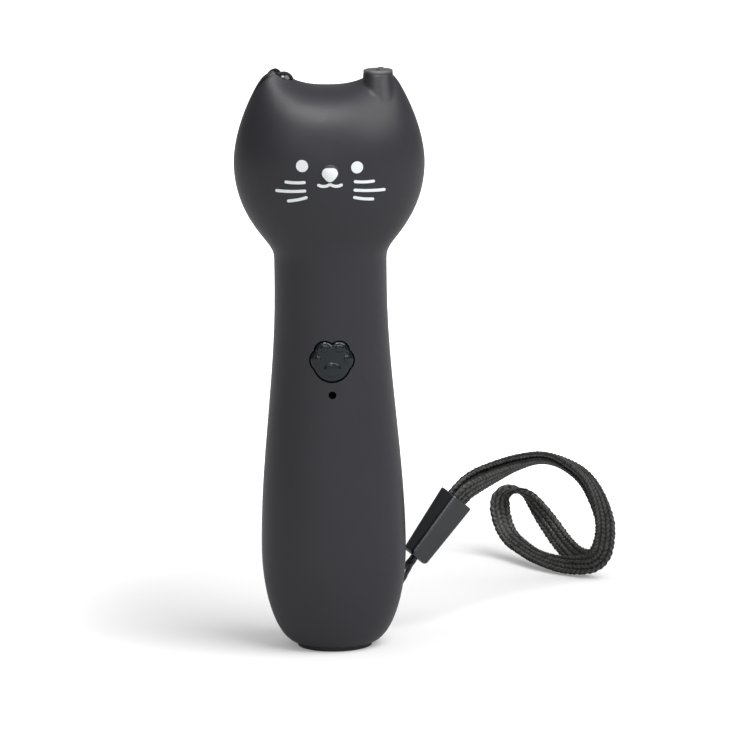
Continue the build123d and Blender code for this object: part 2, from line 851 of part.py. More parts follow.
with BuildPart() as laser_barrel:
    with BuildSketch(Plane.XY.offset(barrel_bottom)):
        with Locations((laser_x, 0)):
            Circle(barrel_radius)
            Circle(barrel_bore, mode=Mode.SUBTRACT)
    extrude(amount=barrel_length)
save(laser_barrel.part, "laser_barrel")

with BuildPart() as laser_lens:
    with BuildSketch(Plane.XY.offset(spigot_bottom - lens_thickness)):
        with Locations((laser_x, 0)):
            Circle(barrel_bore)
    extrude(amount=lens_thickness)
save(laser_lens.part, "laser_lens")

with BuildPart() as laser_diode:
    with BuildSketch(Plane.XY.offset(barrel_bottom)):
        with Locations((laser_x, 0)):
            Circle(barrel_bore)
    extrude(amount=diode_length)
    with BuildSketch(Plane.XY.offset(barrel_bottom)):
        with Locations((laser_x, 0)):
            Circle(barrel_radius)
    extrude(amount=-diode_flange_thickness)
save(laser_diode.part, "laser_diode")

laser_lead_top = barrel_bottom - diode_flange_thickness
laser_lead_routes = [
    [
        (laser_x + way * lead_pitch / 2, 0, laser_lead_top),
        (laser_x + way * lead_pitch / 2, 0, laser_lead_top - lead_straight),
        (lead_x + way * lead_pitch / 2, lead_y, board_top + lead_turn_rise),
        (lead_x + way * lead_pitch / 2, lead_y, board_top),
    ]
    for way in (-1, 1)
]
with BuildPart() as laser_leads:
    for lead_route in laser_lead_routes:
        add(round_wire(lead_route, corner_radii(lead_route), lead_radius))
save(laser_leads.part, "laser_leads")

# Torch in the viewer's left ear: domed lamp and leads
with BuildPart() as torch_lamp:
    with BuildSketch(Plane(origin=torch_body_bottom, x_dir=(0, 1, 0), z_dir=torch_axis)):
        Circle(torch_radius)
    extrude(amount=torch_length)
    with Locations(torch_centre):
        Sphere(torch_radius)
    with BuildSketch(Plane(origin=torch_body_bottom, x_dir=(0, 1, 0), z_dir=torch_axis)):
        Circle(torch_radius + torch_flange)
    extrude(amount=-torch_flange_thickness)
save(torch_lamp.part, "torch_lamp")

torch_lead_top = torch_body_bottom - torch_axis * torch_flange_thickness
torch_across = Vector(cos(radians(torch_tilt)), 0, -sin(radians(torch_tilt)))
torch_lead_routes = []
for way in (-1, 1):
    lead_start = torch_lead_top + torch_across * (way * lead_pitch / 2)
    lead_out = lead_start - torch_axis * torch_lead_run
    torch_lead_routes.append(
        [
            tuple(lead_start),
            tuple(lead_out),
            (-lead_x + way * lead_pitch / 2, lead_y, board_top + lead_turn_rise),
            (-lead_x + way * lead_pitch / 2, lead_y, board_top),
        ]
    )
with BuildPart() as torch_leads:
    for lead_route in torch_lead_routes:
        add(round_wire(lead_route, corner_radii(lead_route), lead_radius))
save(torch_leads.part, "torch_leads")

# Screws that hold the shells together
with BuildPart() as shell_screws:
    with BuildSketch(Plane.XZ.offset(-screw_head_y)):
        with Locations(*screw_places):
            Circle(screw_radius)
    extrude(amount=screw_head_y + screw_engagement)
    with BuildSketch(Plane.XZ.offset(-screw_head_y)):
        with Locations(*screw_places):
            Circle(screw_head_radius)
    extrude(amount=-screw_head_height)
    with BuildSketch(Plane.XZ.offset(-screw_head_y - screw_head_height)):
        with Locations(*screw_places):
            Rectangle(screw_slot_length, screw_slot_width)
            Rectangle(screw_slot_width, screw_slot_length)
    extrude(amount=screw_slot_depth, mode=Mode.SUBTRACT)
save(shell_screws.part, "shell_screws")

# Wrist strap bead: a rounded block on a slanted axis, thinner below where its back draws
# in, with a slot for the band above
bead_bottom = Vector(*bead_bottom_place)
bead_top = Vector(*bead_top_place)
bead_axis = (bead_top - bead_bottom).normalized()
bead_length = (bead_top - bead_bottom).length
towards_viewer = Vector(0, -1, 0)
bead_facing = (towards_viewer - bead_axis * towards_viewer.dot(bead_axis)).normalized()
bead_face = bead_facing.rotate(Axis((0, 0, 0), tuple(bead_axis)), bead_turn)
bead_plane = Plane(origin=bead_bottom, x_dir=bead_face.cross(bead_axis), z_dir=bead_axis)
bead_line = Axis(tuple(bead_bottom), tuple(bead_axis))
bead_low_shift = (bead_thickness - bead_low_thickness) / 2
band_slot = Plane(origin=bead_top - bead_axis * bead_slot_depth, x_dir=bead_face, z_dir=bead_axis)

with BuildPart() as strap_bead:
    with BuildSketch(bead_plane):
        with Locations((0, bead_low_shift)):
            RectangleRounded(bead_low_width, bead_low_thickness, bead_corner)
    with BuildSketch(bead_plane.offset(bead_length)):
        RectangleRounded(bead_width, bead_thickness, bead_corner)
    loft()
    fillet(strap_bead.faces().sort_by(bead_line)[0].edges(), bead_bottom_round)
    fillet(strap_bead.faces().sort_by(bead_line)[-1].edges(), bead_top_round)
    with BuildSketch(band_slot):
        Rectangle(band_layer_gap + 2 * band_radius + 2 * part_gap, band_width + 2 * part_gap)
    extrude(amount=bead_slot_depth + bead_corner, mode=Mode.SUBTRACT)
save(strap_bead.part, "strap_bead")

# Woven band: out of the bead, over the arc, down to the surface, round the small loop
# and back beside its own first stretch, one layer on the other
band_seat = bead_top - bead_axis * bead_slot_depth
band_mouth = bead_top + bead_axis * band_lead
half_layer = bead_face * (band_layer_gap / 2)
band_route = [tuple(band_seat - half_layer), tuple(band_mouth - half_layer)]
band_route += band_out_points + band_loop_points + band_return_points
band_route += [tuple(band_mouth + half_layer), tuple(band_seat + half_layer)]
band_radii = corner_radii(band_route)
print("band radii", [round(radius, 1) for radius in band_radii])
strap_band = round_wire(band_route, band_radii, band_radius)
save(strap_band, "strap_band")

# Thread: from the bead, through both eye holes round the wall between them, and back
thread_across = bead_face * thread_spread
hole_out_y = surface_y(eye_hole_x, eye_hole_heights[0]) + thread_stand_off
hole_in_y = surface_y(eye_hole_x, eye_hole_heights[0]) - wall - thread_reach
thread_middle = bead_bottom + bead_face * bead_low_shift
thread_start = thread_middle + thread_across
thread_end = thread_middle - thread_across
thread_route = [tuple(thread_start), tuple(thread_start - bead_axis * thread_lead)]
thread_route += thread_low_points
thread_route += [
    (eye_hole_x, hole_out_y, eye_hole_heights[0]),
    (eye_hole_x, hole_in_y, eye_hole_heights[0]),
    (eye_hole_x, hole_in_y, eye_hole_heights[1]),
    (eye_hole_x, hole_out_y, eye_hole_heights[1]),
]
thread_route += thread_high_points
thread_route += [tuple(thread_end - bead_axis * thread_lead), tuple(thread_end)]
thread_radii = corner_radii(thread_route)
print("thread radii", [round(radius, 1) for radius in thread_radii])
strap_thread = round_wire(thread_route, thread_radii, thread_radius)
save(strap_thread, "strap_thread")

for name, tube, radius in (("band", strap_band, band_radius), ("thread", strap_thread, thread_radius)):
    print(name, "length", round(tube.volume / (pi * radius ** 2), 1), "mm, valid", tube.is_valid)
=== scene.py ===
"""Cat laser pointer: finishes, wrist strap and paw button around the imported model.

Metres, +Z up, the face towards -Y. Laid out as an add-on and run as a script: the property
groups hold the sizes and colours, and one operator makes each piece or group of like pieces.
"""
import math

import bmesh
import bpy
import numpy as np
from mathutils import Matrix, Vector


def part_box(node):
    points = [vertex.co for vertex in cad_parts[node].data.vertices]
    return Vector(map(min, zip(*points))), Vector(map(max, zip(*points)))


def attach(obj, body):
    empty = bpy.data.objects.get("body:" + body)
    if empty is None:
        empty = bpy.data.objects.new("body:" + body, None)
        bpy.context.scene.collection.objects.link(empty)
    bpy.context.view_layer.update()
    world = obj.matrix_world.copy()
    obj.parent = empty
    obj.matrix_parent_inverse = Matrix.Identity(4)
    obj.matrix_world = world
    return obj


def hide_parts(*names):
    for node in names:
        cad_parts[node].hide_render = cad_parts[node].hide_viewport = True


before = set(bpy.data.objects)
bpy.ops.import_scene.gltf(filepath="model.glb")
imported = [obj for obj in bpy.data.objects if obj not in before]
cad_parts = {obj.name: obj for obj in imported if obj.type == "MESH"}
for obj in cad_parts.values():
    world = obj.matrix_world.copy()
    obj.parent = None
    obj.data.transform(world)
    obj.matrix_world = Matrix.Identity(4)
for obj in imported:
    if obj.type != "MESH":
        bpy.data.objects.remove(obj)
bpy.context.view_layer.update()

bl_info = {
    "name": "Cat laser pointer",
    "version": (1, 0, 0),
    "blender": (4, 5, 0),
    "location": "View3D > Sidebar > Pointer",
    "description": "Dresses the cat laser pointer: shells, face, paw, ears, strap and inner parts",
    "category": "Object",
}

CASING = "casing"
BUTTON = "button"

# Bead of the strap: the two ends of its axis, and how far its flat face is turned about it
BEAD_BOTTOM = np.array([0.0181, 0.0140, 0.0174])
BEAD_TOP = np.array([0.0286, 0.0170, 0.0301])
BEAD_TURN = math.radians(33)
BEAD_SLOT_DEPTH = 0.0036
BAND_LEAD = 0.0015
BAND_LAYER_GAP = 0.0018
THREAD_SPREAD = 0.00062
BEAD_LOW_SHIFT = 0.0011
THREAD_LEAD = 0.0020

# Route of the woven band, the same points as the solid's: over the arc and down, round the
# small loop, and back one layer away from its first stretch
BAND_OUT = np.array([
    (0.0323, 0.0226, 0.0334),
    (0.0372, 0.0290, 0.0344),
    (0.0430, 0.0362, 0.0351),
    (0.0498, 0.0431, 0.0349),
    (0.0554, 0.0488, 0.0315),
    (0.0604, 0.0538, 0.0269),
    (0.0637, 0.0580, 0.0197),
])
BAND_LOOP = np.array([
    (0.0651, 0.0605, 0.0120),
    (0.0636, 0.0633, 0.0040),
    (0.0563, 0.0688, 0.0022),
    (0.0508, 0.0754, 0.0023),
    (0.0471, 0.0819, 0.0028),
    (0.0419, 0.0911, 0.0054),
    (0.0402, 0.0944, 0.0143),
    (0.0465, 0.0920, 0.0164),
    (0.0524, 0.0861, 0.0088),
    (0.0556, 0.0802, 0.0049),
    (0.0588, 0.0722, 0.0032),
    (0.0632, 0.0651, 0.0042),
    (0.0655, 0.0630, 0.0127),
])
BAND_RETURN = np.array([
    (0.0629, 0.0597, 0.0201),
    (0.0592, 0.0552, 0.0265),
    (0.0540, 0.0498, 0.0308),
    (0.0492, 0.0429, 0.0333),
    (0.0435, 0.0360, 0.0335),
    (0.0386, 0.0288, 0.0330),
    (0.0334, 0.0210, 0.0322),
])
# Turn of the band's flat side at each point of the route, in degrees from facing the front; the
# first two are the points inside the bead
BAND_OUT_TURNS = [139.5, 139.5, 138, 122, 106, 93, 78, 60, 38]
BAND_LOOP_TURNS = [12, -5, -30, -50, -48, -24, 8, 112, 166, 180, 180, 178, 168]
TOWARDS_FRONT = np.array([-0.013, -0.981, 0.190])
BAND_STEP = 0.00022
BAND_TURN_WINDOW = 31
# Edges of the band: its share of the full width, the depth of the scallops that its strands
# make, and the depth and rate (radians per metre) of a slower waver
BAND_WIDTH_SHARE = 0.97
BAND_SCALLOP = 0.03
BAND_WAVER = 0.02
BAND_WAVER_RATE = 2600
# Section of the band: power of its superellipse, relief left between two strands of a rib, and
# the power that makes the strands full
BAND_SQUARENESS = 8
STRAND_FLOOR = 0.20
STRAND_FULLNESS = 0.7

# Route of the thread between the bead and the eye holes in the back shell
THREAD_LOW = np.array([(0.0156, 0.0142, 0.0106), (0.0126, 0.0154, 0.0076)])
THREAD_HIGH = np.array([(0.0124, 0.0160, 0.0114), (0.0156, 0.0154, 0.0132)])
EYE_HOLE_X = 0.0090
EYE_HOLE_LOW = 0.0082
EYE_HOLE_PITCH = 0.0036
THREAD_STAND_OFF = 0.0026
THREAD_REACH = 0.0024
THREAD_STEP = 0.00012
THREAD_SIDES = 20
THREAD_PLY_DEPTH = 0.20

# Body form that the paw and the thread follow: half sizes of the foot, grip and neck
FOOT_HEIGHT = 0.0009
FOOT_RADIUS = 0.00865
GRIP_HEIGHT = 0.0230
GRIP_HALF_WIDTH = 0.0165
GRIP_HALF_DEPTH = 0.0136
NECK_HEIGHT = 0.0840
NECK_HALF_WIDTH = 0.0128
NECK_HALF_DEPTH = 0.0108
BOWL_FULLNESS = 1.9
WALL = 0.0018

# Paw button: its five circles as place across, place above the middle, and radius
PAW_HEIGHT = 0.0681
PAW_CIRCLES = np.array([
    (0.0, -0.00053, 0.00426),
    (-0.00162, 0.00220, 0.00229),
    (0.00162, 0.00220, 0.00229),
    (-0.00220, 0.00011, 0.00278),
    (0.00220, 0.00011, 0.00278),
])
# Pads: place across, place above the middle, half width, half height
PAW_PADS = np.array([
    (0.00005, -0.00190, 0.00195, 0.00160),
    (-0.00170, 0.00290, 0.00095, 0.00085),
    (0.00174, 0.00290, 0.00095, 0.00085),
    (-0.00330, 0.00040, 0.00072, 0.00085),
    (0.00340, 0.00040, 0.00072, 0.00085),
])
# Behind its face: depth of its seat, reach and thickness of its flange, and the gap between them
PAW_SEAT_DEPTH = 0.00364
PAW_FLANGE = 0.00087
PAW_FLANGE_GAP = 0.0001
# Grid of its face: points round it, rings from its middle to its rim, and the power that
# crowds the rings towards the rim
PAW_POINTS = 360
PAW_RINGS = 111
PAW_CROWDING = 0.8

# Finish at the right ear: the largest radius of the blended normals, and where the blend fades
# in across and upwards and fades out backwards
COLLAR_BLEND = 0.0016
COLLAR_BLEND_X = (0.0015, 0.0040)
COLLAR_BLEND_Y = (-0.0030, -0.0012)
COLLAR_BLEND_Z = (0.112, 0.116)
# Painted shade of the seam between the shells, drawn as a line at the left ear: its place, its
# half width and the share of that which is fully dark, where it fades out inwards and fades in
# upwards, and its colour
SEAM_SHADE_Y = -0.0012
SEAM_SHADE_HALF = 0.00045
SEAM_SHADE_CORE = 0.4
SEAM_SHADE_X = (-0.0125, -0.0118)
SEAM_SHADE_Z = (0.1215, 0.1255)
SEAM_SHADE_COLOUR = (0.0025, 0.0025, 0.003)
ROUGHNESS_DRIFT = 0.04

# Lamps: name, place, target, size, and whether mirrors alone see it
LAMPS = (
    ("top", (-0.15, -0.38, 1.15), (0.0, 0.0, 0.10), (0.46, 0.42), True),
    ("left", (-0.643, -1.14, 0.904), (0.0, 0.0, 0.06), (0.50, 0.50), True),
    ("front", (-0.145, -2.06, 0.732), (0.0, 0.0, 0.06), (0.50, 0.50), True),
    ("key", (0.80, -0.50, 1.25), (0.0, 0.0, 0.06), (1.20, 1.20), False),
)
# Floor: the point that its glow grows away from, the distances between which it grows, its
# levels there, the share of it that mirrors see, and the floor's grey for the eye and for mirrors
GLOW_CENTRE = (0.025, 0.045, 0.0)
GLOW_REACH = (0.062, 0.160)
GLOW_LEVELS = (0.20, 1.0)
GLOW_IN_MIRRORS = 0.28
FLOOR_GREY = 0.80
FLOOR_GREY_IN_MIRRORS = 0.52


class PointerView(bpy.types.PropertyGroup):
    """Camera, floor and lamps."""

    camera_place: bpy.props.FloatVectorProperty(
        name="Camera place", description="Where the camera stands",
        default=(-0.016, -1.820, 0.420), size=3, subtype="TRANSLATION", unit="LENGTH")
    camera_yaw: bpy.props.FloatProperty(
        name="Yaw", description="Turn of the view to the right", default=0.012967, subtype="ANGLE")
    camera_pitch: bpy.props.FloatProperty(
        name="Pitch", description="Tilt of the view upwards", default=-0.192652, subtype="ANGLE")
    camera_roll: bpy.props.FloatProperty(
        name="Roll", description="Roll of the view", default=-0.0112775, subtype="ANGLE")
    lens: bpy.props.FloatProperty(
        name="Lens", description="Focal length in millimetres on a 36 mm sensor", default=401.32)
    floor_half: bpy.props.FloatProperty(
        name="Floor half side", description="Half the side of the floor",
        default=4.0, unit="LENGTH")
    top_light: bpy.props.FloatProperty(
        name="Top lamp", description="Power of the lamp above the face, seen by mirrors alone",
        default=9.4)
    left_light: bpy.props.FloatProperty(
        name="Left lamp", description="Power of the lamp at the left, seen by mirrors alone",
        default=1.8)
    front_light: bpy.props.FloatProperty(
        name="Front lamp", description="Power of the lamp over the camera, seen by mirrors alone",
        default=1.8)
    key_light: bpy.props.FloatProperty(
        name="Key lamp", description="Power of the soft lamp at the right", default=21.0)
    room_light: bpy.props.FloatProperty(
        name="Room", description="Level of the light that comes from all round", default=0.52)


class PointerColours(bpy.types.PropertyGroup):
    """Colours of the finishes, linear."""

    body: bpy.props.FloatVectorProperty(
        name="Body", description="Charcoal plastic of both shells",
        default=(0.0298, 0.0296, 0.0362), size=3, subtype="COLOR", min=0, max=1)
    mark: bpy.props.FloatVectorProperty(
        name="Face marks", description="White of eyes, nose, mouth and whiskers",
        default=(0.86, 0.895, 0.91), size=3, subtype="COLOR", min=0, max=1)
    gloss: bpy.props.FloatVectorProperty(
        name="Paw", description="Glossy black of the paw button",
        default=(0.0075, 0.0115, 0.0155), size=3, subtype="COLOR", min=0, max=1)
    bead: bpy.props.FloatVectorProperty(
        name="Bead", description="Dark plastic of the strap's bead",
        default=(0.0050, 0.0085, 0.0130), size=3, subtype="COLOR", min=0, max=1)
    weave: bpy.props.FloatVectorProperty(
        name="Weave", description="Yarn of the wrist band on its crowns",
        default=(0.030, 0.0295, 0.0285), size=3, subtype="COLOR", min=0, max=1)


class PointerStrap(bpy.types.PropertyGroup):
    """Sizes of the wrist strap."""

    band_width: bpy.props.FloatProperty(
        name="Band width", description="Width of the woven band", default=0.0050, unit="LENGTH")
    band_thickness: bpy.props.FloatProperty(
        name="Band thickness", description="Thickness of one layer", default=0.00143, unit="LENGTH")
    band_length: bpy.props.FloatProperty(
        name="Band length", description="Length from the bead and back", default=0.2459,
        unit="LENGTH")
    rib_count: bpy.props.IntProperty(
        name="Ribs", description="Braided ribs across the band", default=4, min=1)
    rib_relief: bpy.props.FloatProperty(
        name="Rib relief", description="How far the ribs stand out", default=0.00028,
        unit="LENGTH")
    strand_pitch: bpy.props.FloatProperty(
        name="Strand pitch", description="Step of the braid along the band", default=0.0012,
        unit="LENGTH")
    thread_radius: bpy.props.FloatProperty(
        name="Thread radius", description="Radius of the thread", default=0.00055, unit="LENGTH")
    thread_length: bpy.props.FloatProperty(
        name="Thread length", description="Length of the thread", default=0.0454, unit="LENGTH")
    thread_twist: bpy.props.FloatProperty(
        name="Thread twist", description="Length of one turn of the thread's two plies",
        default=0.0022, unit="LENGTH")


class PointerPaw(bpy.types.PropertyGroup):
    """Sizes of the paw button."""

    proud: bpy.props.FloatProperty(
        name="Proud", description="How far the paw stands out of the body", default=0.00035,
        unit="LENGTH")
    rim_round: bpy.props.FloatProperty(
        name="Rim", description="Radius of the rounded rim", default=0.00075, unit="LENGTH")
    pad_height: bpy.props.FloatProperty(
        name="Pads", description="How far the pads stand out", default=0.00030, unit="LENGTH")
    draw_in: bpy.props.FloatProperty(
        name="Draw in", description="How far the cap's edge stays inside the solid's",
        default=0.00002, unit="LENGTH")


def add_node(tree, kind, settings=None, **inputs):
    """One shader node with its settings, and its sockets set or linked by name."""
    made = tree.nodes.new(kind)
    for name, value in (settings or {}).items():
        setattr(made, name, value)
    for name, value in inputs.items():
        socket = made.inputs[name.replace("_", " ")]
        if isinstance(value, bpy.types.NodeSocket):
            tree.links.new(value, socket)
        else:
            socket.default_value = value
    return made


def maths(tree, operation, *values):
    """Output of one maths node on up to three values or sockets."""
    made = tree.nodes.new("ShaderNodeMath")
    made.operation = operation
    for socket, value in zip(made.inputs, values):
        if isinstance(value, bpy.types.NodeSocket):
            tree.links.new(value, socket)
        else:
            socket.default_value = value
    return made.outputs[0]


def ramp(tree, value, start, end, low=0.0, high=1.0):
    """Output that goes from low to high as value goes from start to end, and no further."""
    made = add_node(tree, "ShaderNodeMapRange", Value=value, From_Min=start, From_Max=end,
                    To_Min=low, To_Max=high)
    return made.outputs["Result"]


def product(tree, *values):
    """Output that is the values or sockets multiplied together."""
    total = values[0]
    for value in values[1:]:
        total = maths(tree, "MULTIPLY", total, value)
    return total


def colour_between(tree, share, low, high):
    """Colour that runs from low to high as share goes from 0 to 1."""
    mix = tree.nodes.new("ShaderNodeMix")
    mix.data_type = "RGBA"
    tree.links.new(share, mix.inputs["Factor"])
    mix.inputs["A"].default_value = (*low, 1)
    mix.inputs["B"].default_value = (*high, 1)
    return mix.outputs["Result"]


def scaled(colour, factor):
    """The colour with each part times factor, and no part over 1."""
    return tuple(min(1.0, part * factor) for part in colour)


def new_finish(name):
    """A material with its shader and the Object coordinates that patterns read."""
    material = bpy.data.materials.new(name)
    material.use_nodes = True
    tree = material.node_tree
    shader = tree.nodes["Principled BSDF"]
    place = tree.nodes.new("ShaderNodeTexCoord").outputs["Object"]
    return material, tree, shader, place


def noise(tree, place, size, detail=2.0, rough=0.5):
    """Noise whose lumps are about size metres across, from 0 to 1."""
    made = add_node(tree, "ShaderNodeTexNoise", Vector=place, Scale=1 / size, Detail=detail,
                    Roughness=rough)
    return made.outputs["Fac"]


def place_parts(tree):
    """The Object coordinates as three outputs, X, Y and Z."""
    place = tree.nodes.new("ShaderNodeTexCoord").outputs["Object"]
    return add_node(tree, "ShaderNodeSeparateXYZ", Vector=place).outputs


def emboss(tree, shader, height, strength, distance):
    """Let height, from 0 to 1, tilt the shader's normals."""
    bump = add_node(tree, "ShaderNodeBump", Height=height, Strength=strength, Distance=distance)
    tree.links.new(bump.outputs["Normal"], shader.inputs["Normal"])


def moulded(name, colour, roughness, grain=0.00018, grain_depth=0.000004, drift=0.012,
            drift_share=0.08, metallic=0.0, coat=0.0, specular=0.5):
    """Moulded plastic or plain metal: fine grain in the normals, and a slow drift of colour
    and roughness over the surface."""
    material, tree, shader, place = new_finish(name)
    slow = noise(tree, place, drift)
    fine = noise(tree, place, grain, detail=3.0)
    shader.inputs["Metallic"].default_value = metallic
    shader.inputs["Coat Weight"].default_value = coat
    shader.inputs["Coat Roughness"].default_value = 0.05
    shader.inputs["Specular IOR Level"].default_value = specular
    mixed = colour_between(tree, slow, scaled(colour, 1 - drift_share),
                           scaled(colour, 1 + drift_share))
    tree.links.new(mixed, shader.inputs["Base Color"])
    spread = ramp(tree, slow, 0, 1, roughness - ROUGHNESS_DRIFT, roughness + ROUGHNESS_DRIFT)
    tree.links.new(spread, shader.inputs["Roughness"])
    emboss(tree, shader, fine, 1.0, grain_depth)
    return material


def soften_collar(material):
    """Blend the shell's normals where the laser's collar runs into the right ear: the blend's
    radius rises from nothing to COLLAR_BLEND up the ear, across it, and forwards of the seam."""
    tree = material.node_tree
    bump = next(node for node in tree.nodes if node.type == "BUMP")
    place = place_parts(tree)
    radius = ramp(tree, place["Z"], *COLLAR_BLEND_Z, high=COLLAR_BLEND)
    right = ramp(tree, place["X"], *COLLAR_BLEND_X)
    front = ramp(tree, place["Y"], *COLLAR_BLEND_Y, low=1.0, high=0.0)
    blend = add_node(tree, "ShaderNodeBevel", {"samples": 8},
                     Radius=product(tree, radius, right, front))
    tree.links.new(blend.outputs["Normal"], bump.inputs["Normal"])
    return material


def paint_seam_shade(material):
    """Darken the shell along a line over the left ear's outer edge, a little in front of the widest
    place, and let it fade towards the cheek: painted shade of the seam between the shells. The
    shells really part at the widest place; this only draws the line where the photograph has it."""
    tree = material.node_tree
    shader = tree.nodes["Principled BSDF"]
    plain = shader.inputs["Base Color"].links[0].from_socket
    place = place_parts(tree)
    away = maths(tree, "ABSOLUTE", maths(tree, "SUBTRACT", place["Y"], SEAM_SHADE_Y))
    near = ramp(tree, away, SEAM_SHADE_CORE * SEAM_SHADE_HALF, SEAM_SHADE_HALF,
                low=1.0, high=0.0)
    high = ramp(tree, place["Z"], *SEAM_SHADE_Z)
    left = ramp(tree, place["X"], *SEAM_SHADE_X, low=1.0, high=0.0)
    mixed = colour_between(tree, product(tree, near, high, left), (0, 0, 0), SEAM_SHADE_COLOUR)
    tree.links.new(plain, mixed.node.inputs["A"])
    tree.links.new(mixed, shader.inputs["Base Color"])
    return material


def turned_metal(name, colour, roughness, centre, pitch):
    """Metal turned on a lathe: fine rings about the axis through centre, along Z."""
    material, tree, shader, place = new_finish(name)
    moved = add_node(tree, "ShaderNodeMapping", Vector=place,
                     Location=(-centre[0], -centre[1], 0)).outputs["Vector"]
    rings = add_node(tree, "ShaderNodeTexWave", {"wave_type": "RINGS", "rings_direction": "Z"},
                     Vector=moved, Scale=1 / pitch / 10, Distortion=0.6, Detail=1.0)
    shader.inputs["Metallic"].default_value = 1.0
    tree.links.new(colour_between(tree, rings.outputs["Fac"], scaled(colour, 0.9), colour),
                   shader.inputs["Base Color"])
    spread = ramp(tree, rings.outputs["Fac"], 0, 1, roughness, roughness + 0.12)
    tree.links.new(spread, shader.inputs["Roughness"])
    emboss(tree, shader, rings.outputs["Fac"], 0.6, 0.000004)
    return material


def clear_plastic(name, colour, roughness):
    """Smoky clear plastic with a faint flow pattern."""
    material, tree, shader, place = new_finish(name)
    shader.inputs["Transmission Weight"].default_value = 0.6
    shader.inputs["IOR"].default_value = 1.49
    slow = noise(tree, place, 0.0015)
    tree.links.new(colour_between(tree, slow, scaled(colour, 0.85), colour),
                   shader.inputs["Base Color"])
    spread = ramp(tree, slow, 0, 1, roughness, roughness + 0.05)
    tree.links.new(spread, shader.inputs["Roughness"])
    return material


def yarn(name, colour, groove_shade_share):
    """Spun yarn: the attribute height, 0 in the grooves and 1 on the crowns, darkens the grooves as
    painted shade; fine fibre speckle in slow patches lightens the crowns as painted glints, and the
    fibres break up the normals."""
    material, tree, shader, place = new_finish(name)
    height = add_node(tree, "ShaderNodeAttribute", {"attribute_name": "height"}).outputs["Fac"]
    fibre = noise(tree, place, 0.00016, detail=4.0, rough=0.7)
    glint_patches = maths(tree, "MULTIPLY", maths(tree, "POWER", noise(tree, place, 0.0011), 2.5), 125.0)
    painted_glints = product(tree, maths(tree, "POWER", fibre, 4.0), glint_patches)
    # Painted light: shade in the grooves, and glints of fibre speckle on the crowns.
    lit = product(tree, maths(tree, "POWER", height, 2.4), maths(tree, "ADD", 0.04, painted_glints))
    tree.links.new(colour_between(tree, lit, scaled(colour, groove_shade_share), scaled(colour, 2.4)),
                   shader.inputs["Base Color"])
    shader.inputs["Roughness"].default_value = 0.42
    shader.inputs["Specular IOR Level"].default_value = 0.35
    emboss(tree, shader, fibre, 1.0, 0.00005)
    return material


def printed_board(name):
    """Circuit board: green mask over rows of fine copper tracks."""
    material, tree, shader, place = new_finish(name)
    tracks = add_node(tree, "ShaderNodeTexBrick", {"offset": 0.5}, Vector=place, Scale=300.0,
                      Mortar_Size=0.03, Mortar_Smooth=0.1, Color1=(0.006, 0.075, 0.030, 1),
                      Color2=(0.008, 0.090, 0.036, 1), Mortar=(0.03, 0.18, 0.07, 1))
    tree.links.new(tracks.outputs["Color"], shader.inputs["Base Color"])
    shader.inputs["Roughness"].default_value = 0.35
    emboss(tree, shader, tracks.outputs["Fac"], 0.5, 0.00003)
    return material


def foam(name, colour):
    """Open foam: round cells sunk into the surface, their hollows darkened as painted shade."""
    material, tree, shader, place = new_finish(name)
    cells = add_node(tree, "ShaderNodeTexVoronoi", Vector=place, Scale=2500.0)
    # Darker towards each cell's middle, where the bump sinks it: painted shade.
    tree.links.new(colour_between(tree, cells.outputs["Distance"], scaled(colour, 0.4), colour),
                   shader.inputs["Base Color"])
    shader.inputs["Roughness"].default_value = 0.95
    emboss(tree, shader, cells.outputs["Distance"], 0.8, 0.0001)
    return material


def dress(material, *names):
    """Give the CAD nodes of these names one material."""
    for name in names:
        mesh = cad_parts[name].data
        mesh.materials.clear()
        mesh.materials.append(material)


def unit(vectors):
    """The vectors at length 1."""
    return vectors / np.linalg.norm(vectors, axis=-1, keepdims=True)


def bead_directions():
    """Unit vectors along the bead and out of its flat face: the direction to the front, square
    to the axis, turned about the axis by BEAD_TURN."""
    along = unit(BEAD_TOP - BEAD_BOTTOM)
    front = np.array([0.0, -1.0, 0.0])
    front = unit(front - along * (front @ along))
    face = front * math.cos(BEAD_TURN) + np.cross(along, front) * math.sin(BEAD_TURN)
    return along, face


def half_size(z, foot, grip, neck):
    """Half width or half depth of the grip at height z: a quarter of a superellipse above
    the foot, then a cosine from the grip's widest place to the neck."""
    rise = np.clip((z - FOOT_HEIGHT) / (GRIP_HEIGHT - FOOT_HEIGHT), 0, 1)
    bowl = foot + (grip - foot) * (1 - (1 - rise) ** 2) ** (1 / BOWL_FULLNESS)
    climb = (z - GRIP_HEIGHT) / (NECK_HEIGHT - GRIP_HEIGHT)
    shaft = grip + (neck - grip) * (1 - np.cos(np.pi * climb)) / 2
    return np.where(z < GRIP_HEIGHT, bowl, shaft)


def skin_depth(x, z):
    """Distance from the seam plane to the skin: an ellipse across each height."""
    width = half_size(z, FOOT_RADIUS, GRIP_HALF_WIDTH, NECK_HALF_WIDTH)
    depth = half_size(z, FOOT_RADIUS, GRIP_HALF_DEPTH, NECK_HALF_DEPTH)
    return depth * np.sqrt(1 - (x / width) ** 2)


def smooth_line(name, route, steps=24):
    """Points along the smooth open spline whose control points are the route's points."""
    curve = bpy.data.curves.new(name, "CURVE")
    curve.dimensions = "3D"
    curve.resolution_u = steps
    spline = curve.splines.new("NURBS")
    spline.points.add(len(route) - 1)
    spline.points.foreach_set("co", np.column_stack([route, np.ones(len(route))]).ravel())
    spline.order_u = 3
    spline.use_endpoint_u = True
    carrier = bpy.data.objects.new(name, curve)
    bpy.context.scene.collection.objects.link(carrier)
    bpy.context.view_layer.update()
    mesh = bpy.data.meshes.new_from_object(carrier)
    line = np.empty(3 * len(mesh.vertices))
    mesh.vertices.foreach_get("co", line)
    bpy.data.objects.remove(carrier)
    bpy.data.curves.remove(curve)
    bpy.data.meshes.remove(mesh)
    return line.reshape(-1, 3)


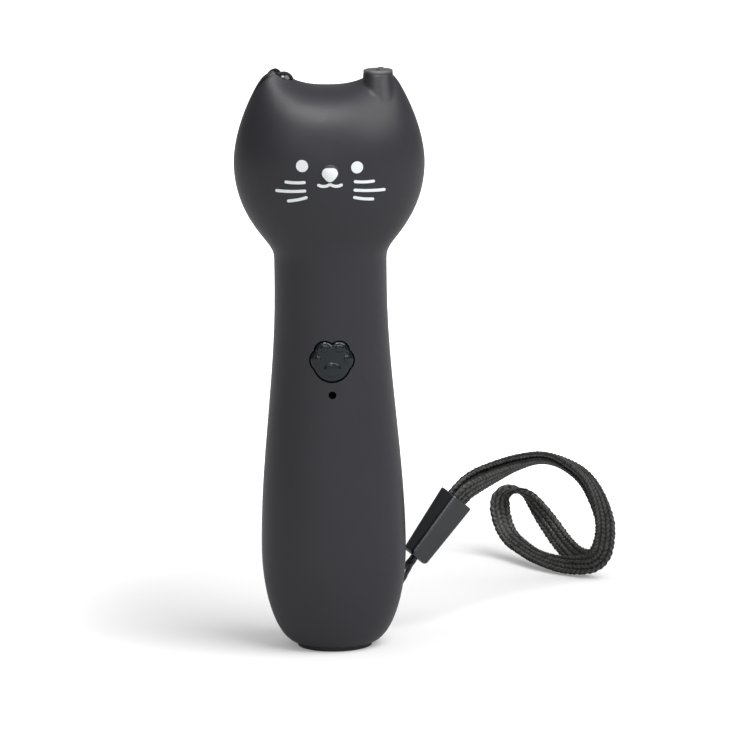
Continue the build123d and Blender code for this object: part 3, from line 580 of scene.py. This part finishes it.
def even_line(line, step):
    """The line's points spread evenly: their places, the length run at each, and each one's
    share of the spline's own parameter."""
    run = np.concatenate([[0], np.cumsum(np.linalg.norm(np.diff(line, axis=0), axis=1))])
    at = np.linspace(0, run[-1], int(round(run[-1] / step)) + 1)
    places = np.column_stack([np.interp(at, run, line[:, k]) for k in range(3)])
    share = np.interp(at, run, np.linspace(0, 1, len(line)))
    return places, at, share


def softened(values, window):
    """Moving average over window samples, with the end values carried past the ends."""
    padded = np.pad(values, (window, window), mode="edge")
    return np.convolve(padded, np.ones(window) / window, mode="same")[window:-window]


def grid_piece(name, points, material, wrap_columns=False, cap_rows=False, height=None):
    """Object from a grid of points, rows by columns, with one quad between each four
    neighbours; the first and last rows can be closed by a face each."""
    rows, columns = points.shape[:2]
    i = np.arange(rows - 1)[:, None]
    j = np.arange(columns if wrap_columns else columns - 1)[None, :]
    right = (j + 1) % columns
    quads = np.stack(np.broadcast_arrays(
        i * columns + j, i * columns + right, (i + 1) * columns + right, (i + 1) * columns + j
    ), axis=-1).reshape(-1, 4)
    faces = quads.tolist()
    if cap_rows:
        faces.append(list(range(columns - 1, -1, -1)))
        faces.append(list(range((rows - 1) * columns, rows * columns)))
    mesh = bpy.data.meshes.new(name)
    mesh.from_pydata(points.reshape(-1, 3).tolist(), [], faces)
    work = bmesh.new()
    work.from_mesh(mesh)
    bmesh.ops.remove_doubles(work, verts=work.verts, dist=1e-7)
    bmesh.ops.recalc_face_normals(work, faces=work.faces)
    work.to_mesh(mesh)
    work.free()
    mesh.polygons.foreach_set("use_smooth", np.ones(len(mesh.polygons), bool))
    if height is not None:
        mesh.attributes.new("height", "FLOAT", "POINT").data.foreach_set(
            "value", height.ravel().astype(np.float32))
    mesh.materials.append(material)
    mesh.update()
    piece = bpy.data.objects.new(name, mesh)
    bpy.context.scene.collection.objects.link(piece)
    return piece


def tube_frames(places):
    """Two directions across the line, square to each other, that turn as little as possible
    along it: at each point the last one is laid flat against the new tangent."""
    tangents = unit(np.gradient(places, axis=0))
    across = np.empty_like(tangents)
    side = np.cross(tangents[0], (0.3, 0.2, 0.93))
    for k, tangent in enumerate(tangents):
        side = side - tangent * (side @ tangent)
        side = side / np.linalg.norm(side)
        across[k] = side
    return across, np.cross(tangents, across)


class POINTER_OT_stage(bpy.types.Operator):
    """Camera at the photograph's angle, pale floor, soft lamps and a plain room"""

    bl_idname = "pointer.stage"
    bl_label = "Stage"

    def execute(self, context):
        view = context.scene.pointer_view
        context.scene.view_settings.view_transform = "Standard"
        forward = np.array([
            math.sin(view.camera_yaw) * math.cos(view.camera_pitch),
            math.cos(view.camera_yaw) * math.cos(view.camera_pitch),
            math.sin(view.camera_pitch),
        ])
        right = unit(np.cross(forward, (0.0, 0.0, 1.0)))
        up = np.cross(right, forward)
        lean, rise = math.sin(view.camera_roll), math.cos(view.camera_roll)
        sideways, upwards = rise * right + lean * up, rise * up - lean * right
        camera = bpy.data.objects.new("camera", bpy.data.cameras.new("camera"))
        camera.data.lens = view.lens
        camera.data.sensor_width = 36.0
        camera.data.clip_end = 20.0
        turned = Matrix([sideways, upwards, -forward]).transposed().to_4x4()
        camera.matrix_world = Matrix.Translation(view.camera_place) @ turned
        context.scene.collection.objects.link(camera)
        context.scene.camera = camera
        self.make_room(context, view)
        self.make_floor(context, view)
        for name, place, target, size, mirrors_alone in LAMPS:
            power = getattr(view, f"{name}_light")
            lamp = self.make_lamp(context, f"{name}_lamp", place, target, size, power)
            lamp.visible_diffuse = not mirrors_alone
        return {"FINISHED"}

    def make_room(self, context, view):
        """The camera sees white. Mirrors see a room that brightens from the front to the back,
        with a second bright patch straight ahead, and is darker at both sides. All else is lit
        at the room's plain level."""
        world = bpy.data.worlds.new("room")
        world.use_nodes = True
        context.scene.world = world
        tree = world.node_tree
        tree.nodes.clear()
        path = tree.nodes.new("ShaderNodeLightPath")
        way = add_node(tree, "ShaderNodeSeparateXYZ",
                       Vector=tree.nodes.new("ShaderNodeTexCoord").outputs["Generated"]).outputs
        behind = ramp(tree, way["Y"], -0.4, 0.7, 0.15, 0.45)
        ahead = ramp(tree, way["Y"], -0.98, -0.55, 0.50, 0.0)
        beside = ramp(tree, maths(tree, "ABSOLUTE", way["X"]), 0.4, 0.9, 0.95, 0.35)
        reflected = product(tree, maths(tree, "ADD", behind, ahead), beside)
        change = product(tree, self.in_mirrors(tree, path),
                         maths(tree, "SUBTRACT", reflected, view.room_light))
        level = maths(tree, "MAXIMUM", maths(tree, "ADD", view.room_light, change),
                      path.outputs["Is Camera Ray"])
        light = add_node(tree, "ShaderNodeBackground", Color=(1, 1, 1, 1), Strength=level)
        output = tree.nodes.new("ShaderNodeOutputWorld")
        tree.links.new(light.outputs["Background"], output.inputs["Surface"])

    def in_mirrors(self, tree, path):
        """Output that is 1 for light seen in a mirror or through clear plastic, and else 0."""
        return maths(tree, "MAXIMUM", path.outputs["Is Glossy Ray"],
                     path.outputs["Is Transmission Ray"])

    def make_floor(self, context, view):
        """Plain pale floor: diffuse, with a glow for the camera and for mirrors that lifts
        the lit floor to white, keeps the shadow, and takes over far from the object."""
        half = view.floor_half
        mesh = bpy.data.meshes.new("floor")
        mesh.from_pydata([(-half, -half, 0), (half, -half, 0), (half, half, 0), (-half, half, 0)],
                         [], [(0, 1, 2, 3)])
        material = bpy.data.materials.new("pale_floor")
        material.use_nodes = True
        tree = material.node_tree
        tree.nodes.clear()
        path = tree.nodes.new("ShaderNodeLightPath")
        place = tree.nodes.new("ShaderNodeTexCoord").outputs["Object"]
        far = add_node(tree, "ShaderNodeVectorMath", {"operation": "DISTANCE"})
        tree.links.new(place, far.inputs[0])
        far.inputs[1].default_value = GLOW_CENTRE
        glow = ramp(tree, far.outputs["Value"], *GLOW_REACH, *GLOW_LEVELS)
        glow.node.interpolation_type = "SMOOTHSTEP"
        seen = maths(tree, "MAXIMUM", path.outputs["Is Camera Ray"],
                     product(tree, self.in_mirrors(tree, path), GLOW_IN_MIRRORS))
        shade = colour_between(tree, path.outputs["Is Glossy Ray"], (FLOOR_GREY,) * 3,
                               (FLOOR_GREY_IN_MIRRORS,) * 3)
        matt = add_node(tree, "ShaderNodeBsdfDiffuse", Color=shade)
        bright = add_node(tree, "ShaderNodeEmission", Color=(1, 1, 1, 1),
                          Strength=product(tree, seen, glow))
        both = tree.nodes.new("ShaderNodeAddShader")
        tree.links.new(matt.outputs["BSDF"], both.inputs[0])
        tree.links.new(bright.outputs["Emission"], both.inputs[1])
        output = tree.nodes.new("ShaderNodeOutputMaterial")
        tree.links.new(both.outputs["Shader"], output.inputs["Surface"])
        mesh.materials.append(material)
        floor = bpy.data.objects.new("floor", mesh)
        context.scene.collection.objects.link(floor)

    def make_lamp(self, context, name, place, target, size, power):
        """One soft rectangular lamp at place, aimed at target."""
        lamp = bpy.data.lights.new(name, "AREA")
        lamp.shape = "RECTANGLE"
        lamp.size, lamp.size_y = size
        lamp.energy = power
        holder = bpy.data.objects.new(name, lamp)
        away = unit(np.array(place) - np.array(target))
        side = unit(np.cross((0.0, 0.0, 1.0), away))
        holder.matrix_world = (
            Matrix.Translation(place)
            @ Matrix([side, np.cross(away, side), away]).transposed().to_4x4()
        )
        context.scene.collection.objects.link(holder)
        return holder


class POINTER_OT_band(bpy.types.Operator):
    """Woven wrist band, doubled over, from the bead and back into it"""

    bl_idname = "pointer.band"
    bl_label = "Woven band"

    def execute(self, context):
        strap = context.scene.pointer_strap
        colours = context.scene.pointer_colours
        along, face = bead_directions()
        half_layer = face * BAND_LAYER_GAP / 2
        seat = BEAD_TOP - along * BEAD_SLOT_DEPTH
        mouth = BEAD_TOP + along * BAND_LEAD
        route = np.vstack([
            seat - half_layer, mouth - half_layer, BAND_OUT, BAND_LOOP, BAND_RETURN,
            mouth + half_layer, seat + half_layer,
        ])
        turns = BAND_OUT_TURNS + BAND_LOOP_TURNS + [180 - turn for turn in reversed(BAND_OUT_TURNS)]
        line = smooth_line("band_line", route)
        places, run, share = even_line(line, BAND_STEP)
        knots = np.clip((np.arange(len(route)) - 0.5) / (len(route) - 2), 0, 1)
        turn = softened(np.radians(np.interp(share, knots, turns)), BAND_TURN_WINDOW)[:, None]
        tangents = unit(np.gradient(places, axis=0))
        front = unit(TOWARDS_FRONT - tangents * (tangents @ TOWARDS_FRONT)[:, None])
        flat = np.cos(turn) * front + np.sin(turn) * np.cross(front, tangents)
        across = np.cross(flat, tangents)
        shares, lift, relief = self.section(strap, run)
        scallop = BAND_SCALLOP * np.cos(2 * np.pi * run / strap.strand_pitch)
        waver = BAND_WAVER * np.cos(BAND_WAVER_RATE * run)
        width = strap.band_width * (BAND_WIDTH_SHARE + (scallop + waver))[:, None]
        points = (
            places[:, None, :]
            + across[:, None, :] * (shares * width / 2)[:, :, None]
            + flat[:, None, :] * lift[:, :, None]
        )
        # The band's yarn has painted shade in its grooves and painted glints on its crowns.
        band = grid_piece("woven_band", points, yarn("woven_yarn", tuple(colours.weave), 0.06),
                          wrap_columns=True, cap_rows=True, height=relief)
        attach(band, CASING)
        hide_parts("strap_band")
        return {"FINISHED"}

    def section(self, strap, run, steps=15):
        """Across the band: shares from -1 to 1 of the half width, the height of the surface
        over the middle plane for each place along the band, and the relief from 0 to 1.

        The flat side is a superellipse, the root of 1 minus the power BAND_SQUARENESS of the
        share. On it stand ribs, each the upper half of a circle, cut by strands that slant one
        way on one rib and the other way on the next; a strand is the cosine of its phase, to
        the power STRAND_FULLNESS."""
        upper = np.sin(np.linspace(-1, 1, 2 * steps + 1) * np.pi / 2)
        shares = np.concatenate([upper, upper[-2:0:-1]])
        side = np.concatenate([np.ones(len(upper)), -np.ones(len(upper) - 2)])
        rib = (shares * 0.5 + 0.5) * strap.rib_count
        number = np.clip(np.floor(rib), 0, strap.rib_count - 1)
        local = np.clip(2 * (rib - number) - 1, -1, 1)
        slant = np.where(number % 2 == 0, 0.5, -0.5) * side
        ridge = np.sqrt(1 - local ** 2)
        phase = run[:, None] / strap.strand_pitch + (slant * local)[None, :]
        strand = np.abs(np.cos(np.pi * phase)) ** STRAND_FULLNESS
        relief = ridge[None, :] * (STRAND_FLOOR + (1 - STRAND_FLOOR) * strand)
        body = strap.band_thickness / 2 * np.sqrt(1 - np.abs(shares) ** BAND_SQUARENESS)
        lift = side * (body[None, :] - strap.rib_relief * (1 - relief) * (body > 0)[None, :])
        return shares, lift, relief


class POINTER_OT_thread(bpy.types.Operator):
    """Twisted thread from the bead through both eye holes and back"""

    bl_idname = "pointer.thread"
    bl_label = "Thread"

    def execute(self, context):
        strap = context.scene.pointer_strap
        along, face = bead_directions()
        start = BEAD_BOTTOM + face * (BEAD_LOW_SHIFT + THREAD_SPREAD)
        end = BEAD_BOTTOM + face * (BEAD_LOW_SHIFT - THREAD_SPREAD)
        skin = float(skin_depth(EYE_HOLE_X, EYE_HOLE_LOW))
        out_y, in_y = skin + THREAD_STAND_OFF, skin - WALL - THREAD_REACH
        top = EYE_HOLE_LOW + EYE_HOLE_PITCH
        route = np.vstack([
            start, start - along * THREAD_LEAD, THREAD_LOW,
            (EYE_HOLE_X, out_y, EYE_HOLE_LOW), (EYE_HOLE_X, in_y, EYE_HOLE_LOW),
            (EYE_HOLE_X, in_y, top), (EYE_HOLE_X, out_y, top),
            THREAD_HIGH, end - along * THREAD_LEAD, end,
        ])
        places, run, _ = even_line(smooth_line("thread_line", route), THREAD_STEP)
        side, other = tube_frames(places)
        angle = np.linspace(0, 2 * np.pi, THREAD_SIDES, endpoint=False)[None, :]
        ply = np.abs(np.cos(angle - np.pi * run[:, None] / strap.thread_twist))
        radius = strap.thread_radius * (1 - THREAD_PLY_DEPTH + THREAD_PLY_DEPTH * np.sqrt(ply))
        points = (
            places[:, None, :]
            + side[:, None, :] * (radius * np.cos(angle))[:, :, None]
            + other[:, None, :] * (radius * np.sin(angle))[:, :, None]
        )
        # The thread's yarn has painted shade between its plies and painted glints on them.
        material = yarn("thread_yarn", (0.030, 0.030, 0.032), 0.3)
        thread = grid_piece("twisted_thread", points, material, wrap_columns=True,
                            cap_rows=True, height=ply ** 0.5)
        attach(thread, CASING)
        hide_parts("strap_thread")
        return {"FINISHED"}


class POINTER_OT_paw(bpy.types.Operator):
    """Glossy paw button with a rounded rim and five soft pads"""

    bl_idname = "pointer.paw"
    bl_label = "Paw button"

    def execute(self, context):
        paw = context.scene.pointer_paw
        colours = context.scene.pointer_colours
        angle = np.linspace(0, 2 * np.pi, PAW_POINTS, endpoint=False)
        outline = self.outline(angle, -paw.draw_in)
        flange = self.outline(angle, PAW_FLANGE)
        seat = float(skin_depth(0.0, PAW_HEIGHT)) - PAW_SEAT_DEPTH
        flange_front = seat - PAW_FLANGE_GAP
        flange_back = flange_front - PAW_FLANGE
        spread = np.linspace(0, 1, PAW_RINGS) ** PAW_CROWDING
        x = spread[:, None] * outline[None, :] * np.cos(angle)
        z = spread[:, None] * outline[None, :] * np.sin(angle)
        rows = [np.stack([x, -self.face_depth(paw, x, z), z + PAW_HEIGHT], axis=-1)]
        for reach, depth in ((outline, flange_front), (flange, flange_front),
                             (flange, flange_back), (flange * 0.5, flange_back)):
            rows.append(np.stack([
                reach * np.cos(angle),
                np.full(len(angle), -depth),
                reach * np.sin(angle) + PAW_HEIGHT,
            ], axis=-1)[None])
        material = moulded("paw_gloss", tuple(colours.gloss), 0.10, grain=0.0004,
                           grain_depth=0.0000008, drift=0.002, specular=0.42)
        button = grid_piece("paw_cap", np.concatenate(rows), material, wrap_columns=True)
        work = bmesh.new()
        work.from_mesh(button.data)
        bmesh.ops.holes_fill(work, edges=[edge for edge in work.edges if edge.is_boundary])
        bmesh.ops.recalc_face_normals(work, faces=work.faces)
        work.to_mesh(button.data)
        work.free()
        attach(button, BUTTON)
        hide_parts("paw_button")
        return {"FINISHED"}

    def outline(self, angle, grow):
        """Reach of the paw from its middle at each angle: the furthest crossing of the ray
        with the five circles, each grown by grow."""
        ray = np.stack([np.cos(angle), np.sin(angle)])
        centres, radii = PAW_CIRCLES[:, :2], PAW_CIRCLES[:, 2] + grow
        ahead = centres @ ray
        inside = radii[:, None] ** 2 - (centres ** 2).sum(axis=1)[:, None] + ahead ** 2
        crossing = np.where(inside > 0, ahead + np.sqrt(np.maximum(inside, 0)), 0)
        return crossing.max(axis=0)

    def face_depth(self, paw, x, z):
        """Depth of the paw's face: the body's skin plus proud, less the fall of a rim of
        radius rim_round, plus the pads, each a flat-topped dome: the root of 1 - r^4, where r
        is the way from the pad's middle as a share of its ellipse's reach. q is r squared."""
        away = np.hypot(x[..., None] - PAW_CIRCLES[:, 0], z[..., None] - PAW_CIRCLES[:, 1])
        inside = (PAW_CIRCLES[:, 2] - paw.draw_in - away).max(axis=-1)
        inside = np.clip(inside, 0, paw.rim_round)
        fall = paw.rim_round - np.sqrt(paw.rim_round ** 2 - (paw.rim_round - inside) ** 2)
        pads = np.zeros_like(x)
        for across, above, half_width, half_height in PAW_PADS:
            q = ((x - across) / half_width) ** 2 + ((z - above) / half_height) ** 2
            pads = np.maximum(pads, np.sqrt(np.clip(1 - q ** 2, 0, 1)))
        return skin_depth(x, z + PAW_HEIGHT) + paw.proud - fall + paw.pad_height * pads


class POINTER_OT_body(bpy.types.Operator):
    """Soft-touch finish of both shells, the white face marks and the bead"""

    bl_idname = "pointer.body"
    bl_label = "Shells, face and bead"

    def execute(self, context):
        colours = context.scene.pointer_colours
        shell = moulded("soft_touch", tuple(colours.body), 0.42, grain_depth=0.000003,
                        specular=0.32)
        dress(paint_seam_shade(soften_collar(shell)), "front_shell", "back_shell")
        dress(moulded("white_inlay", tuple(colours.mark), 0.35, drift_share=0.03),
              "eye_marks", "muzzle_mark", "whisker_marks")
        dress(moulded("bead_plastic", tuple(colours.bead), 0.22, grain_depth=0.0000015,
                      specular=1.0), "strap_bead")
        return {"FINISHED"}


class POINTER_OT_ears(bpy.types.Operator):
    """Laser cap in the right ear and lamp in the left ear"""

    bl_idname = "pointer.ears"
    bl_label = "Laser and lamp"

    def execute(self, context):
        bezel_low, bezel_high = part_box("laser_bezel")
        axis = ((bezel_low[0] + bezel_high[0]) / 2, (bezel_low[1] + bezel_high[1]) / 2)
        dress(turned_metal("satin_metal", (0.20, 0.20, 0.20), 0.36, axis, 0.0003), "laser_bezel")
        dress(turned_metal("turned_brass", (0.62, 0.43, 0.18), 0.28, axis, 0.0004),
              "laser_barrel")
        dress(turned_metal("diode_steel", (0.55, 0.55, 0.56), 0.32, axis, 0.0003), "laser_diode")
        dress(clear_plastic("lens_glass", (0.9, 0.92, 0.95), 0.02), "laser_lens")
        dress(moulded("lamp_dome", (0.006, 0.0065, 0.008), 0.16, grain=0.001,
                      grain_depth=0.0000004), "torch_lamp")
        return {"FINISHED"}


class POINTER_OT_inside(bpy.types.Operator):
    """Board, switch, light, socket, battery, leads and screws"""

    bl_idname = "pointer.inside"
    bl_label = "Inner parts"

    def execute(self, context):
        dress(moulded("plated_steel", (0.50, 0.50, 0.51), 0.30, grain=0.0003, metallic=1.0,
                      drift=0.003), "shell_screws", "board_screws", "switch_cover", "socket_shell")
        dress(moulded("lead_sleeve", (0.24, 0.02, 0.015), 0.42, drift=0.004, drift_share=0.2),
              "battery_leads", "laser_leads", "torch_leads")
        dress(moulded("cell_sleeve", (0.02, 0.10, 0.26), 0.30, drift=0.006, drift_share=0.12),
              "battery_cell")
        dress(moulded("chip_resin", (0.012, 0.012, 0.013), 0.55, grain=0.0001, drift=0.002),
              "board_components", "switch_housing", "switch_plunger", "socket_tongue")
        dress(clear_plastic("lamp_resin", (0.60, 0.62, 0.55), 0.15), "charge_light")
        dress(moulded("smoked_plastic", (0.0012, 0.0012, 0.0014), 0.5, grain=0.0003, drift=0.001,
                      specular=0.0), "light_pipe")
        dress(foam("pad_foam", (0.05, 0.05, 0.055)), "battery_pad")
        dress(printed_board("board_mask"), "circuit_board")
        return {"FINISHED"}


class POINTER_PT_panel(bpy.types.Panel):
    """Buttons for each piece, in the sidebar"""

    bl_label = "Cat laser pointer"
    bl_idname = "POINTER_PT_panel"
    bl_space_type = "VIEW_3D"
    bl_region_type = "UI"
    bl_category = "Pointer"

    def draw(self, context):
        for operator in OPERATORS:
            self.layout.operator(operator.bl_idname)


GROUPS = {
    "pointer_view": PointerView,
    "pointer_colours": PointerColours,
    "pointer_strap": PointerStrap,
    "pointer_paw": PointerPaw,
}
OPERATORS = [
    POINTER_OT_stage,
    POINTER_OT_band,
    POINTER_OT_thread,
    POINTER_OT_paw,
    POINTER_OT_body,
    POINTER_OT_ears,
    POINTER_OT_inside,
]


def register():
    for name, group in GROUPS.items():
        bpy.utils.register_class(group)
        setattr(bpy.types.Scene, name, bpy.props.PointerProperty(type=group))
    for operator in OPERATORS:
        bpy.utils.register_class(operator)
    bpy.utils.register_class(POINTER_PT_panel)


def unregister():
    bpy.utils.unregister_class(POINTER_PT_panel)
    for operator in reversed(OPERATORS):
        bpy.utils.unregister_class(operator)
    for name, group in GROUPS.items():
        delattr(bpy.types.Scene, name)
        bpy.utils.unregister_class(group)


def main():
    register()
    bpy.ops.pointer.stage()
    bpy.ops.pointer.band()
    bpy.ops.pointer.thread()
    bpy.ops.pointer.paw()
    bpy.ops.pointer.body()
    bpy.ops.pointer.ears()
    bpy.ops.pointer.inside()


if __name__ == "__main__":
    main()
